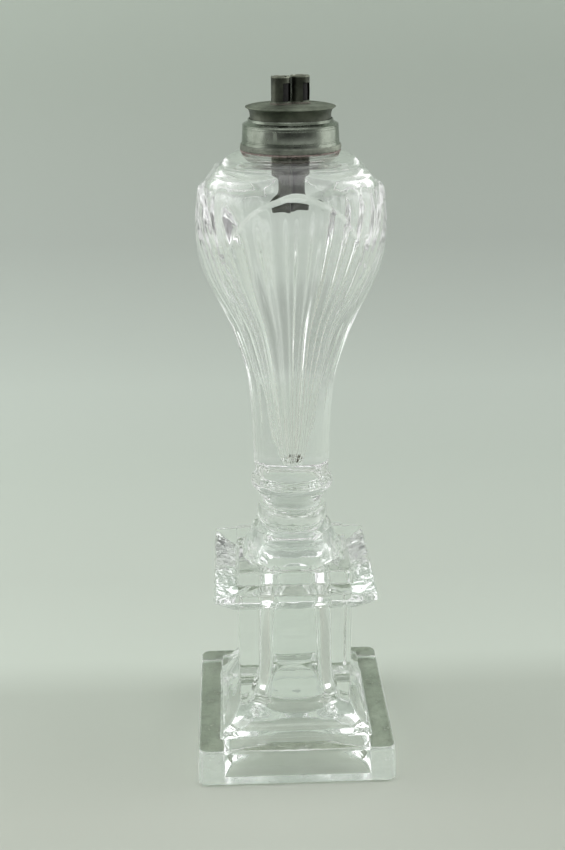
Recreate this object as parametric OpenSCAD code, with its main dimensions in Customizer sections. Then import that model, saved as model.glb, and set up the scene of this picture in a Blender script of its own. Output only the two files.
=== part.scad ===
// Glass stand lamp on a square pressed base, with a two-tube screw burner.
// The lamp stands on the plane z = 0, its axis is Z, and its front faces -Y.

/* [Foot and pillar] */
// Width of the square foot slab at its underside
foot_w = 85; // [76:0.5:92]
// Narrowing of the slab on each side between its underside and its top
foot_draft = 0.7; // [0:0.1:2]
// Height of the foot slab
foot_h = 16.4; // [13:0.1:20]
// Rounding of the slab's four upright corners
foot_corner_r = 3.5; // [2:0.5:5]
// Width of the plinth block above the slab
plinth_w = 63.6; // [58:0.2:68]
// Height of the plinth block's upright face
plinth_face_h = 3.6; // [2:0.1:6]
// Height of the hollow moulding between the plinth block and the pillar
plinth_cove_h = 8.5; // [6:0.1:12]
// Width of the square pillar
pillar_w = 47.8; // [44:0.2:52]
// Height at which the pillar meets the moulding under its cap
pillar_top_z = 74.5; // [66:0.5:80]

/* [Cap and dome] */
// Width of the cap's flange
cap_w = 67.4; // [60:0.2:72]
// Height of the moulding under the flange
cap_under_h = 8.3; // [5:0.1:12]
// Thickness of the flange at its edge
cap_edge_h = 2.8; // [2:0.1:6]
// Height of the raised square above the flange
cap_step_h = 5.6; // [3:0.1:8]
// Width across the flats of the eight-sided foot of the dome
dome_flats = 41.5; // [36:0.5:46]
// Height of the dome from the raised square to its shoulder
dome_h = 11.8; // [9:0.1:14]
// Radius of the dome's shoulder, where the neck stands on it
dome_top_r = 16.5; // [15:0.1:18]
// Height of the neck from the dome's shoulder to the wafer
neck_h = 14; // [12:0.5:16]
// Radius of the neck under the wafer
neck_top_r = 12.8; // [11:0.1:14]

/* [Hollow under the base] */
// Radius of the hollow at the foot's underside, before it is trimmed square
hollow_mouth_r = 45.5; // [40:0.5:47]
// Half the width of the square to which the hollow is trimmed inside the foot
pocket_half_w = 32; // [28:0.2:36]
// Radius of the hollow inside the pillar
hollow_pillar_r = 16.9; // [10:0.1:17.5]
// Distance of the hollow's centre line to the right of the lamp's axis
hollow_shift = 0.6; // [0:0.1:2]
// Height at which the hollow has narrowed to its pillar radius
hollow_throat_z = 45; // [38:1:56]
// Height of the hollow's closed end
hollow_top_z = 95; // [80:1:97]
// Rounding of the hollow's closed end
hollow_end_r = 6; // [2:0.5:9]

/* [Wafer] */
// Height of the glass wafer that joins the base to the font
wafer_h = 11; // [8:0.5:14]
// Radius of the wafer's bulge
wafer_r = 17.05; // [16.5:0.05:19]

/* [Font] */
// Radius at the middle of a loop where the font is widest
font_max_r = 37.6; // [35:0.1:40]
// Height of that widest place
font_max_z = 233.6; // [228:0.2:238]
// Radius of the stem where it stands on the wafer
stem_r = 15.5; // [14:0.1:16.5]
// Radius where the stem starts to widen
waist_r = 18.9; // [17:0.1:21]
// Height at which the stem starts to widen
waist_z = 174.6; // [168:0.2:182]
// Height of the top of each loop's round head
loop_top_z = 249.3; // [247:0.1:250]
// Half the width of a loop at its round head
loop_half_w = 28.2; // [27.5:0.1:30]
// Height of the rounded edge along the top of a loop
loop_edge_h = 4.5; // [3:0.1:6]
// Distance of each loop face's own centre line behind the lamp's axis
loop_offset = 4; // [2:0.1:12]
// Half the width across the four sloping flats at their upper edge
flat_top_w = 28.2; // [27:0.1:29]
// Height of the upper edge of the flats
flat_top_z = 254.6; // [253.5:0.1:255]
// Radius of the round wall behind the flats, at its upper edge
shoulder_r = 35.2; // [34:0.1:36]
// Height of that upper edge
shoulder_z = 252.2; // [251:0.1:253]
// Outer radius of the glass neck inside the collar
font_neck_r = 15.6; // [15:0.1:16]
// Radius of the opening in the glass neck
font_bore_r = 13.5; // [13:0.1:14]
// Height of the rim of the glass neck
font_rim_z = 267.6; // [265:0.2:268]

/* [Inside of the font] */
// Height of the lowest point inside the font
well_z = 131.5; // [130:0.5:140]
// Radius of the inside just above its rounded lower end
well_r = 4.2; // [3:0.1:6]
// Radius inside where the body starts to widen
throat_in_r = 12.2; // [9:0.1:13]
// Height inside at which the body starts to widen
throat_in_z = 190; // [184:1:196]
// Widest radius inside
body_in_r = 31.5; // [28:0.1:32]
// Height of the widest place inside
body_in_z = 242; // [238:0.5:243]

/* [Collar] */
// Height of the underside of the collar's flange
collar_z = 260.9; // [260.7:0.1:261.4]
// Radius of the flange
collar_flange_r = 19.4; // [19:0.1:21]
// Thickness of the flange
collar_flange_h = 2.1; // [1.8:0.1:2.6]
// Radius of the band where it stands on the flange
collar_band_r = 18.8; // [18.4:0.1:19]
// Radius of the band at its top
collar_band_top_r = 18.35; // [18:0.05:18.6]
// Height of the band
collar_band_h = 7.4; // [6.8:0.1:8]
// Height of the washer's seat above the band
collar_seat_h = 0.9; // [0.6:0.1:1.4]
// Height of the thin rim round the washer, above its seat
collar_rim_h = 1.1; // [0.8:0.1:1.4]
// Outer radius of that rim
collar_rim_r = 16.4; // [16.3:0.1:17]
// Clearance between the rim and the burner's plug
collar_rim_gap = 0.3; // [0.2:0.05:0.35]
// Inner radius of the collar's skirt
collar_skirt_in_r = 16.7; // [16.4:0.1:17.2]
// Thickness of the collar's top web
collar_web_h = 2.2; // [1.5:0.1:3]
// Height of the threaded hub's lower edge above the flange's underside
collar_hub_z = 1.4; // [1.1:0.1:3]

/* [Burner] */
// Radius of the burner's screw thread over its crests
thread_r = 11.1; // [10.5:0.1:11.6]
// Clearance between the burner's thread crests and the collar's bore
thread_gap = 0.08; // [0.05:0.01:0.1]
// Distance between neighbouring thread turns
thread_pitch = 1.6; // [1.2:0.1:2]
// Depth of the thread grooves
thread_depth = 0.5; // [0.3:0.05:0.7]
// Thickness of the leather washer under the burner
washer_h = 0.6; // [0.4:0.1:1]
// Radius of the washer
washer_r = 15; // [13:0.1:15.2]
// Clearance between the washer and the burner's thread
washer_gap = 0.3; // [0.2:0.05:0.5]
// Radius of the burner's plug just above the washer
plug_low_r = 15.6; // [15.4:0.05:15.7]
// Radius of the burner's plug under its plate
plug_high_r = 16.5; // [15.8:0.05:17]
// Height of the plug from the washer to the plate
plug_h = 4.5; // [3:0.1:6]
// Length of the threaded part below the washer
thread_len = 8; // [6:0.1:9]
// Inner radius of the threaded part
plug_in_r = 9.2; // [8.5:0.1:9.6]
// Reach of the plug's solid web below its rim
plug_floor_h = 1.6; // [1:0.1:3]
// Radius of the burner's plate
plate_r = 17.3; // [16.5:0.1:18]
// Thickness of the plate
plate_h = 1.3; // [0.8:0.1:2]

/* [Wick tubes and wicks] */
// Outer radius of a wick tube
tube_r = 3.7; // [3.2:0.05:4]
// Wall of a wick tube
tube_wall = 0.5; // [0.3:0.05:0.8]
// Distance between the two tube centres
tube_spacing = 8.3; // [8:0.1:9]
// Turn of the pair of tubes about the lamp's axis
tube_turn = 27; // [0:1:90]
// Height of the tubes above the plate
tube_above = 10.3; // [8:0.1:16]
// Reach of the tubes below the plate
tube_below = 42.4; // [30:0.4:43.2]
// Width of the pick slot in each tube
slot_w = 4.6; // [3:0.1:5]
// Height of the pick slot
slot_h = 7.4; // [4:0.1:9]
// Height of the slot's lower edge above the plate
slot_z = 0.4; // [0.3:0.1:2]
// Direction that the slots face, turned to the right of the front
slot_face = 49; // [0:1:90]
// Clearance between a wick and its tube
wick_gap = 0.3; // [0.2:0.05:0.6]
// Depth of a wick's top below the tube's rim
wick_drop = 1.8; // [1:0.1:4]
// Length of a wick
wick_len = 34; // [26:1:37]
// Size of the solder fillet round the tubes on the plate
solder_size = 0.6; // [0.4:0.1:0.9]

/* [Hidden] */
$fn = 96;

// Heights that follow from the sizes above
plinth_z = foot_h + plinth_face_h;
pillar_z = plinth_z + plinth_cove_h;
flange_z = pillar_top_z + cap_under_h;
step_z = flange_z + cap_edge_h;
dome_z = step_z + cap_step_h;
neck_z = dome_z + dome_h;
wafer_z = neck_z + neck_h;
font_z = wafer_z + wafer_h;
collar_band_top_z = collar_z + collar_flange_h + collar_band_h;
collar_seat_z = collar_band_top_z + collar_seat_h;
collar_rim_z = collar_seat_z + collar_rim_h;
collar_web_z = collar_seat_z - collar_web_h;
plug_z = collar_seat_z + washer_h;
thread_end_z = collar_seat_z - thread_len;
plate_z = plug_z + plug_h;
plate_top_z = plate_z + plate_h;
tube_top_z = plate_top_z + tube_above;
// Radius of the dome's round outline on the raised square, just inside the eight corners
dome_foot_r = dome_flats * 0.545;
// Radii of the collar's threaded hub, which stands thread_wall thick behind its grooves
thread_wall = 1.2;
collar_bore_r = thread_r + thread_gap;
collar_hub_r = collar_bore_r + thread_depth + thread_wall;
// Bevel on the rim's upper edge
rim_bevel = 0.2;
// Half the width of a thread groove at its mouth and at its bottom
thread_mouth = thread_pitch * 0.45;
thread_bottom = thread_pitch * 0.1;
// Plain length above the first thread groove
thread_lead = 1;
// Clearance round a tube in the plug and the plate
tube_fit = 0.02;
// A cut runs this far past the solid that it cuts
past = 1;
// Far larger than any radius here, for half planes and slabs
wide = 200;

// Points of a cubic curve with end points a and d and handles b and c
function curve(a, b, c, d, steps = 12) = [
    for (i = [0 : steps])
        let (t = i / steps, s = 1 - t)
        s * s * s * a + 3 * s * s * t * b + 3 * s * t * t * c + t * t * t * d
];

// The point at the given shares of the way from a to b, one share for each coordinate
function mix(a, b, share) = [a[0] + (b[0] - a[0]) * share[0], a[1] + (b[1] - a[1]) * share[1]];

// Turns a profile of [half width, height] points into a square solid with mitred corners
module square_turned(profile) {
    outline = concat(profile, [for (i = [len(profile) - 1 : -1 : 0]) [-profile[i][0], profile[i][1]]]);
    intersection() {
        rotate([90, 0, 0])
            linear_extrude(wide, center = true)
                polygon(outline);
        rotate([90, 0, 90])
            linear_extrude(wide, center = true)
                polygon(outline);
    }
}

// A square slab with rounded upright corners, standing on z = 0
module rounded_slab(width, height, corner_r) {
    inner = width / 2 - corner_r;
    linear_extrude(height) {
        square([width, 2 * inner], center = true);
        square([2 * inner, width], center = true);
        for (x = [-inner, inner], y = [-inner, inner])
            translate([x, y])
                circle(corner_r);
    }
}

// The foot slab's half widths against height
function slab_profile() = [
    [0, 0], [foot_w / 2, 0], [foot_w / 2 - foot_draft, foot_h], [0, foot_h]
];

// Plinth block, pillar and cap as half widths against height
function pillar_profile() = concat(
    [[0, foot_h], [plinth_w / 2, foot_h]],
    curve([plinth_w / 2, plinth_z], [plinth_w / 2 - 3.6, plinth_z + 1.4],
          [pillar_w / 2 + 2.2, pillar_z - 3.4], [pillar_w / 2, pillar_z], 8),
    curve([pillar_w / 2, pillar_top_z], [pillar_w / 2 + 2.6, pillar_top_z + 1.2],
          [cap_w / 2 - 2.8, flange_z - 3.2], [cap_w / 2, flange_z], 6),
    [[cap_w / 2, step_z], [pillar_w / 2, step_z], [pillar_w / 2, dome_z], [0, dome_z]]
);

// Dome and neck as radii against height
function dome_profile() = concat(
    [[0, dome_z - past], [dome_foot_r, dome_z - past]],
    curve([dome_foot_r, dome_z + 0.6], [dome_top_r + 2.6, dome_z + 2.6],
          [dome_top_r + 1.4, neck_z - 4], [dome_top_r, neck_z], 8),
    curve([dome_top_r - 0.2, neck_z + 0.4], [dome_top_r - 2.6, neck_z + 2],
          [neck_top_r + 1.6, wafer_z - 5], [neck_top_r, wafer_z], 8),
    [[0, wafer_z]]
);

// The hollow pressed into the base from below: a trumpet shape that narrows into the pillar
function hollow_profile() = concat(
    [[0, -past], [hollow_mouth_r, -past]],
    curve([hollow_mouth_r, 0], [hollow_mouth_r - 21.5, 10.5],
          [hollow_pillar_r + 0.1, hollow_throat_z - 23], [hollow_pillar_r, hollow_throat_z], 10),
    curve([hollow_pillar_r - 0.6, hollow_top_z - hollow_end_r],
          [hollow_pillar_r - 0.8, hollow_top_z - hollow_end_r * 0.45],
          [hollow_pillar_r - hollow_end_r * 0.5, hollow_top_z],
          [hollow_pillar_r - hollow_end_r, hollow_top_z], 6),
    [[0, hollow_top_z]]
);

module glass_base() {
    color("aliceblue", 0.5)
    difference() {
        union() {
            intersection() {
                rounded_slab(foot_w, foot_h, foot_corner_r);
                square_turned(slab_profile());
            }
            square_turned(pillar_profile());
            intersection() {
                rotate_extrude()
                    polygon(dome_profile());
                union() {
                    rotate(22.5)
                        translate([0, 0, dome_z - past])
                            cylinder(h = dome_h + past, d = dome_flats / cos(22.5), $fn = 8);
                    translate([0, 0, neck_z - 0.5])
                        cylinder(h = neck_h + 0.5, r = dome_flats);
                }
            }
        }
        translate([hollow_shift, 0, 0])
            intersection() {
                rotate_extrude()
                    polygon(hollow_profile());
                linear_extrude(3 * hollow_top_z, center = true)
                    square(2 * pocket_half_w, center = true);
            }
    }
}

module glass_wafer() {
    color("aliceblue", 0.5)
    translate([0, 0, wafer_z])
        rotate_extrude()
            polygon(concat(
                [[0, 0], [neck_top_r, 0]],
                curve([neck_top_r + 1.2, 0.6], [wafer_r - 0.4, 1.6],
                      [wafer_r + 0.1, wafer_h * 0.45], [wafer_r, wafer_h * 0.62], 6),
                curve([wafer_r, wafer_h * 0.66], [wafer_r, wafer_h * 0.85],
                      [wafer_r - 0.3, wafer_h - 0.4], [stem_r + 0.3, wafer_h], 5),
                [[0, wafer_h]]
            ));
}

// Radius against height along the middle of a loop, from the wafer to the loop's round head
function loop_profile() = concat(
    curve([stem_r, font_z], [stem_r + 0.3, font_z + 4.6],
          [stem_r + 0.5, waist_z - 10], [waist_r, waist_z], 10),
    curve([waist_r, waist_z], mix([waist_r, waist_z], [font_max_r, font_max_z], [0.56, 0.617]),
          mix([waist_r, waist_z], [font_max_r, font_max_z], [1, 0.56]), [font_max_r, font_max_z], 14),
    curve([font_max_r, font_max_z + 2], [font_max_r, font_max_z + 4.5],
          [font_max_r - 0.5, loop_top_z - loop_edge_h - 4],
          [font_max_r - 1, loop_top_z - loop_edge_h], 4),
    curve([font_max_r - 1.3, loop_top_z - loop_edge_h + 0.8],
          [font_max_r - 2, loop_top_z - loop_edge_h * 0.4],
          [font_max_r - 3.2, loop_top_z - 0.6], [font_max_r - 4.6, loop_top_z], 3)
);

// One loop face: a turned surface whose centre line lies behind the lamp's axis
module loop_face() {
    profile = [for (p = loop_profile()) [p[0] + loop_offset, p[1]]];
    top = profile[len(profile) - 1][1];
    translate([0, loop_offset, 0])
        rotate_extrude()
            polygon(concat([[0, font_z]], profile, [[0, top]]));
}

// A slab along Y with the outline of a loop: straight sides and a round head
module loop_slab() {
    rotate([90, 0, 0])
        linear_extrude(wide, center = true) {
            translate([0, loop_top_z - loop_half_w])
                circle(loop_half_w);
            translate([-loop_half_w, font_z - past])
                square([2 * loop_half_w, loop_top_z - loop_half_w - font_z + past]);
        }
}

// The round wall behind the flats, and the dome above them that flares out to meet it
function shoulder_profile() = concat(
    [[0, loop_top_z - loop_half_w], [font_max_r - 2, loop_top_z - loop_half_w],
     [font_max_r - 0.3, font_max_z - 4]],
    curve([font_max_r - 0.6, font_max_z + 4], [font_max_r - 1.2, font_max_z + 12],
          [shoulder_r + 0.8, shoulder_z - 4], [shoulder_r, shoulder_z], 4),
    curve([shoulder_r - 1, shoulder_z + 0.6], [flat_top_w + 2.6, flat_top_z - 1],
          [flat_top_w + 1, flat_top_z - 0.6], [flat_top_w, flat_top_z], 4),
    curve([flat_top_w - 0.8, flat_top_z + 0.8], [flat_top_w - 3, flat_top_z + 3.4],
          [font_neck_r + 7, collar_z - 0.8], [font_neck_r + 1, collar_z - 0.3], 6),
    [[font_neck_r, collar_z + 0.4], [font_neck_r, font_rim_z], [0, font_rim_z]]
);

// Four flats that slope inwards above the loops, and stand upright above the dome's foot
function flats_profile() = [
    [0, loop_top_z - loop_half_w], [wide / 4, loop_top_z - loop_half_w], [font_max_r, font_max_z + 10],
    [flat_top_w + 4.7, flat_top_z - 5.6], [flat_top_w, flat_top_z], [flat_top_w, font_rim_z + past],
    [0, font_rim_z + past]
];

// The space for the fuel, open through the neck
function inside_profile() = concat(
    curve([0, well_z], [well_r * 0.8, well_z], [well_r * 0.85, well_z + 2], [well_r, well_z + 5.5], 5),
    curve([well_r, well_z + 5.5], [well_r + 2.4, well_z + 20.5],
          [throat_in_r - 3, throat_in_z - 16], [throat_in_r, throat_in_z], 10),
    curve([throat_in_r, throat_in_z], [throat_in_r + 3.6, throat_in_z + 20],
          [body_in_r, body_in_z - 11], [body_in_r, body_in_z], 12),
    curve([body_in_r, body_in_z], [body_in_r, body_in_z + 9],
          [font_bore_r + 11, collar_z - 3.3], [font_bore_r, collar_z - 2.3], 10),
    [[font_bore_r, font_rim_z + past], [0, font_rim_z + past]]
);

module glass_font() {
    color("aliceblue", 0.5)
    difference() {
        union() {
            intersection() {
                loop_face();
                rotate(90)
                    loop_face();
                rotate(180)
                    loop_face();
                rotate(270)
                    loop_face();
                union() {
                    loop_slab();
                    rotate(90)
                        loop_slab();
                }
            }
            intersection() {
                square_turned(flats_profile());
                rotate_extrude()
                    polygon(shoulder_profile());
            }
        }
        rotate_extrude()
            polygon(inside_profile());
    }
}

// A ring of rectangular section, standing at height z
module ring(z, height, outer_r, inner_r) {
    translate([0, 0, z])
        difference() {
            cylinder(h = height, r = outer_r);
            translate([0, 0, -past])
                cylinder(h = height + 2 * past, r = inner_r);
        }
}

// Plaster between the glass neck and the collar, with a bead that shows under the flange
module collar_plaster() {
    color("rosybrown")
    union() {
        ring(collar_z + 0.4, collar_web_z - collar_z - 0.4, collar_skirt_in_r, font_neck_r);
        ring(font_rim_z, collar_web_z - font_rim_z, font_neck_r + past, collar_hub_r);
        ring(collar_z - 0.3, 0.7, collar_skirt_in_r, font_neck_r + 1);
    }
}

module collar() {
    color("dimgray")
    difference() {
        rotate_extrude()
            polygon([
                [collar_bore_r, collar_z + collar_hub_z],
                [collar_hub_r, collar_z + collar_hub_z],
                [collar_hub_r, collar_web_z],
                [collar_skirt_in_r, collar_web_z],
                [collar_skirt_in_r, collar_z],
                [collar_flange_r, collar_z],
                [collar_flange_r, collar_z + collar_flange_h],
                [collar_band_r, collar_z + collar_flange_h],
                [collar_band_top_r, collar_band_top_z],
                [collar_rim_r, collar_seat_z + rim_bevel],
                [collar_rim_r, collar_rim_z - rim_bevel],
                [collar_rim_r - rim_bevel, collar_rim_z],
                [plug_low_r + collar_rim_gap, collar_rim_z],
                [plug_low_r + collar_rim_gap, collar_seat_z],
                [collar_bore_r, collar_seat_z]
            ]);
        thread_grooves(collar_bore_r - past, collar_bore_r + thread_depth);
    }
}

// Thread turns drawn as separate round grooves, counted downwards from the washer's seat.
// Each groove is open towards radius mouth_r, and narrows to its bottom at radius bottom_r.
module thread_grooves(mouth_r, bottom_r) {
    for (i = [0 : floor((thread_len - thread_lead) / thread_pitch) - 1])
        translate([0, 0, collar_seat_z - thread_lead - (i + 0.5) * thread_pitch])
            rotate_extrude()
                polygon([[mouth_r, -thread_mouth], [bottom_r, -thread_bottom],
                         [bottom_r, thread_bottom], [mouth_r, thread_mouth]]);
}

// Places the children at the left tube for side -1 and at the right tube for side 1
module at_tube(side) {
    rotate(tube_turn)
        translate([side * tube_spacing / 2, 0, 0])
            children();
}

module burner_washer() {
    color("saddlebrown")
    ring(collar_seat_z, washer_h, washer_r, thread_r + washer_gap);
}

// Holes for both tubes, from height z upwards
module tube_holes(z, height) {
    for (side = [-1, 1])
        at_tube(side)
            translate([0, 0, z])
                cylinder(h = height, r = tube_r + tube_fit);
}

// Cast plug: a waisted rim over the washer, and a threaded skirt that is hollow inside
module burner_plug() {
    color("dimgray")
    difference() {
        rotate_extrude()
            polygon(concat(
                [[0, plug_z - plug_floor_h], [plug_in_r, plug_z - plug_floor_h],
                 [plug_in_r, thread_end_z], [thread_r - thread_depth, thread_end_z],
                 [thread_r, thread_end_z + thread_depth], [thread_r, plug_z]],
                curve([plug_low_r, plug_z], [plug_low_r - 0.2, plug_z + plug_h * 0.5],
                      [plug_low_r, plug_z + plug_h * 0.7], [plug_high_r, plate_z], 6),
                [[0, plate_z]]
            ));
        thread_grooves(thread_r + past, thread_r - thread_depth);
        tube_holes(thread_end_z, wide);
    }
}

// Thin disc soldered on the plug
module burner_plate() {
    color("slategray")
    difference() {
        translate([0, 0, plate_z])
            cylinder(h = plate_h, r = plate_r);
        tube_holes(plate_z - past, plate_h + 2 * past);
    }
}

// Open tube with a pick slot above the plate
module wick_tube() {
    color("dimgray")
    difference() {
        translate([0, 0, plate_top_z - tube_below])
            cylinder(h = tube_below + tube_above, r = tube_r);
        translate([0, 0, plate_top_z - tube_below - past])
            cylinder(h = tube_below + tube_above + 2 * past, r = tube_r - tube_wall);
        rotate(slot_face - tube_turn)
            translate([-slot_w / 2, -2 * tube_r, plate_top_z + slot_z])
                cube([slot_w, 2 * tube_r, slot_h]);
    }
}

module wick_tube_left() {
    at_tube(-1)
        wick_tube();
}

module wick_tube_right() {
    at_tube(1)
        wick_tube();
}

// Solder run round the feet of both tubes and between them
module tube_solder() {
    color("lightslategray")
    difference() {
        union() {
            for (side = [-1, 1])
                at_tube(side)
                    translate([0, 0, plate_top_z])
                        cylinder(h = solder_size, r1 = tube_r + solder_size, r2 = tube_r + 0.15);
            rotate(tube_turn)
                translate([-tube_spacing / 2, -tube_r / 2, plate_top_z])
                    cube([tube_spacing, tube_r, solder_size / 2]);
        }
        tube_holes(plate_top_z - past, solder_size + 2 * past);
    }
}

module wick() {
    color("black")
    translate([0, 0, tube_top_z - wick_drop - wick_len])
        cylinder(h = wick_len, r = tube_r - tube_wall - wick_gap);
}

module wick_left() {
    at_tube(-1)
        wick();
}

module wick_right() {
    at_tube(1)
        wick();
}

glass_base();
glass_wafer();
glass_font();
collar_plaster();
collar();
burner_washer();
burner_plug();
burner_plate();
wick_tube_left();
wick_tube_right();
tube_solder();
wick_left();
wick_right();
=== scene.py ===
"""Clear pressed glass stand lamp with a screw burner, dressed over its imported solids."""
import math
import random
import bpy
from mathutils import Matrix, Vector, kdtree
from mathutils import noise as field


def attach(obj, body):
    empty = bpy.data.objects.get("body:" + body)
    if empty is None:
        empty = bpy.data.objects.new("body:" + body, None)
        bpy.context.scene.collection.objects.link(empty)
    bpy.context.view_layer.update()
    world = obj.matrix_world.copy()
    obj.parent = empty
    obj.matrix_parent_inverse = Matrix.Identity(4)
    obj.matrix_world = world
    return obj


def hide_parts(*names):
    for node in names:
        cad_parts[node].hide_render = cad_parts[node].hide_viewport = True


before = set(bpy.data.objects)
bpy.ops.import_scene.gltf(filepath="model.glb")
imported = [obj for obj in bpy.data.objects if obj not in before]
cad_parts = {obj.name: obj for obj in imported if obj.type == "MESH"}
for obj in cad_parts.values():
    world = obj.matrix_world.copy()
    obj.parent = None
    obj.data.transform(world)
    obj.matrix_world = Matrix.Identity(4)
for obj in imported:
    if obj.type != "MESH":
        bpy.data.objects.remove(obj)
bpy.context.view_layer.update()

# Lengths of the lamp's own pieces are in mm, and those of the stage and the lights in metres
MM = 0.001
FULL_TURN = 2 * math.pi
QUARTER_TURN = math.pi / 2

# Steps round the axis in the font and the base, and in the smaller turned pieces
STEPS = 360
SMALL_STEPS = 240

# Heights of the joints between the three pieces of glass
WAFER_Z = 117.0
FONT_Z = 128.0


# Lengths and outlines


def curve(a, b, c, d, steps):
    """Points of a cubic curve from a to d with handles b and c, without a itself."""
    points = []
    for i in range(1, steps + 1):
        t = i / steps
        s = 1 - t
        points.append(tuple(s ** 3 * a[k] + 3 * s * s * t * b[k] + 3 * s * t * t * c[k]
                            + t ** 3 * d[k] for k in (0, 1)))
    return points


def long_curve(start, *spans):
    """Points of cubic curves set end to end, each given by its handles, end and steps."""
    points = []
    for b, c, end, steps in spans:
        points += curve(start, b, c, end, steps)
        start = end
    return points


def read_off(table, x):
    """The value at x of a table of (x, value) pairs in rising order."""
    if x <= table[0][0]:
        return table[0][1]
    for (x0, v0), (x1, v1) in zip(table, table[1:]):
        if x <= x1:
            return v0 + (v1 - v0) * (x - x0) / (x1 - x0)
    return table[-1][1]


def clamp(x, low=0.0, high=1.0):
    """The number, or the end of the range that it lies beyond."""
    return max(low, min(high, x))


def soft_min(a, b, width):
    """The smaller of two lengths, with a rounding of the given width where they meet."""
    h = clamp(0.5 + 0.5 * (b - a) / width)
    return b * (1 - h) + a * h - width * h * (1 - h)


def soft_max(a, b, width):
    """The larger of two lengths, rounded in the same way."""
    return -soft_min(-a, -b, width)


def from_side(turn, sides):
    """Angle between a direction and the middle of the nearest of so many equal sides."""
    width = FULL_TURN / sides
    return (turn + width / 2) % width - width / 2


def fine(profile, step, closed=True):
    """The same outline with no gap between its points longer than the step."""
    points = []
    for a, b in zip(profile, profile[1:] + (profile[:1] if closed else [])):
        count = max(1, math.ceil(math.dist(a, b) / step))
        points += [(a[0] + (b[0] - a[0]) * k / count, a[1] + (b[1] - a[1]) * k / count)
                   for k in range(count)]
    return points if closed else points + profile[-1:]


# Modelling helpers


def deselect():
    """Leaves edit mode and deselects every object."""
    if bpy.context.object and bpy.context.object.mode != "OBJECT":
        bpy.ops.object.mode_set(mode="OBJECT")
    bpy.ops.object.select_all(action="DESELECT")


def pick(piece):
    """Makes a piece the active one and the only one selected."""
    deselect()
    bpy.context.view_layer.objects.active = piece
    piece.select_set(True)


def edit(piece, kind="VERT"):
    """Opens a piece in edit mode with all of it selected."""
    pick(piece)
    bpy.ops.object.mode_set(mode="EDIT")
    bpy.ops.mesh.select_mode(type=kind)
    bpy.ops.mesh.select_all(action="SELECT")


def leave_edit():
    bpy.ops.object.mode_set(mode="OBJECT")


def tidy_faces(piece):
    """Merges doubled points and turns all faces outwards."""
    edit(piece)
    bpy.ops.mesh.remove_doubles(threshold=1e-6)
    bpy.ops.mesh.normals_make_consistent(inside=False)
    leave_edit()


def lathe(name, profile, steps):
    """Spins an outline of (radius, height) points round the lamp's axis.

    An outline that keeps off the axis isn't joined up from its last point to its first.
    """
    deselect()
    bpy.ops.mesh.primitive_plane_add(size=1, location=(0, 0, 0))
    piece = bpy.context.object
    piece.name = name
    edit(piece)
    bpy.ops.mesh.merge(type="CENTER")
    x, z = profile[0]
    bpy.ops.transform.translate(value=(x * MM, 0, z * MM))
    for x1, z1 in profile[1:]:
        step = ((x1 - x) * MM, 0, (z1 - z) * MM)
        bpy.ops.mesh.extrude_region_move(TRANSFORM_OT_translate={"value": step})
        x, z = x1, z1
    bpy.ops.mesh.select_all(action="SELECT")
    bpy.ops.mesh.spin(steps=steps, angle=FULL_TURN, center=(0, 0, 0), axis=(0, 0, 1))
    leave_edit()
    tidy_faces(piece)
    return piece


def roughen(piece, depth, size, share=None):
    """Moves the surface in and out by lumps of a size, as on worn cast or beaten metal."""
    moves = []
    for point in piece.data.vertices:
        place = point.co / MM
        lump = field.noise(place / size)
        lump += 0.5 * field.noise(place / size * 2.3 + Vector((7, 3, 1)))
        moves.append(point.normal * lump * depth * (share(place) if share else 1) * MM)
    for point, move in zip(piece.data.vertices, moves):
        point.co += move


def smooth(piece, degrees):
    """Shades a piece smooth across edges that turn less than so many degrees."""
    pick(piece)
    bpy.ops.object.shade_smooth_by_angle(angle=math.radians(degrees))


def apply_modifier(piece, kind, **settings):
    """Adds a modifier to a piece and applies it at once."""
    pick(piece)
    modifier = piece.modifiers.new(kind.lower(), kind)
    for key, value in settings.items():
        setattr(modifier, key, value)
    bpy.ops.object.modifier_apply(modifier=modifier.name)


def cut(piece, tool):
    """Cuts a tool shape out of a piece, and removes the tool."""
    apply_modifier(piece, "BOOLEAN", object=tool, operation="DIFFERENCE", solver="EXACT")
    bpy.data.objects.remove(tool, do_unlink=True)


def dress(piece, *finishes):
    """Gives a piece these finishes in place of those that it has."""
    piece.data.materials.clear()
    for finish in finishes:
        piece.data.materials.append(finish)


def hand_over(piece, node, body, degrees):
    """Shades a finished piece, hides the solid that it replaces where there is one, and says what
    body it rides on.
    """
    smooth(piece, degrees)
    if node:
        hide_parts(node)
    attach(piece, body)


# Materials, with noise scales per metre and bump depths in metres


def new_material(name):
    material = bpy.data.materials.new(name)
    material.use_nodes = True
    tree = material.node_tree
    return material, tree, tree.nodes["Principled BSDF"]


def link(tree, a, b):
    tree.links.new(a, b)


def coordinates(tree, scale=(1, 1, 1)):
    """Places on the piece itself, in metres from the lamp's origin."""
    place = tree.nodes.new("ShaderNodeTexCoord")
    mapping = tree.nodes.new("ShaderNodeMapping")
    mapping.inputs["Scale"].default_value = scale
    link(tree, place.outputs["Object"], mapping.inputs["Vector"])
    return mapping.outputs["Vector"]


def noise(tree, vector, scale, detail, roughness=0.5):
    node = tree.nodes.new("ShaderNodeTexNoise")
    node.inputs["Scale"].default_value = scale
    node.inputs["Detail"].default_value = detail
    node.inputs["Roughness"].default_value = roughness
    link(tree, vector, node.inputs["Vector"])
    return node.outputs["Fac"]


def grey(value):
    return value, value, value


def ramp(tree, value, stops):
    """Turns a number into a colour by stops of (number, colour)."""
    node = tree.nodes.new("ShaderNodeValToRGB")
    band = node.color_ramp
    while len(band.elements) < len(stops):
        band.elements.new(0.5)
    for element, (place, colour) in zip(band.elements, stops):
        element.position = place
        element.color = (*colour, 1)
    link(tree, value, node.inputs["Fac"])
    return node.outputs["Color"]


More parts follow.
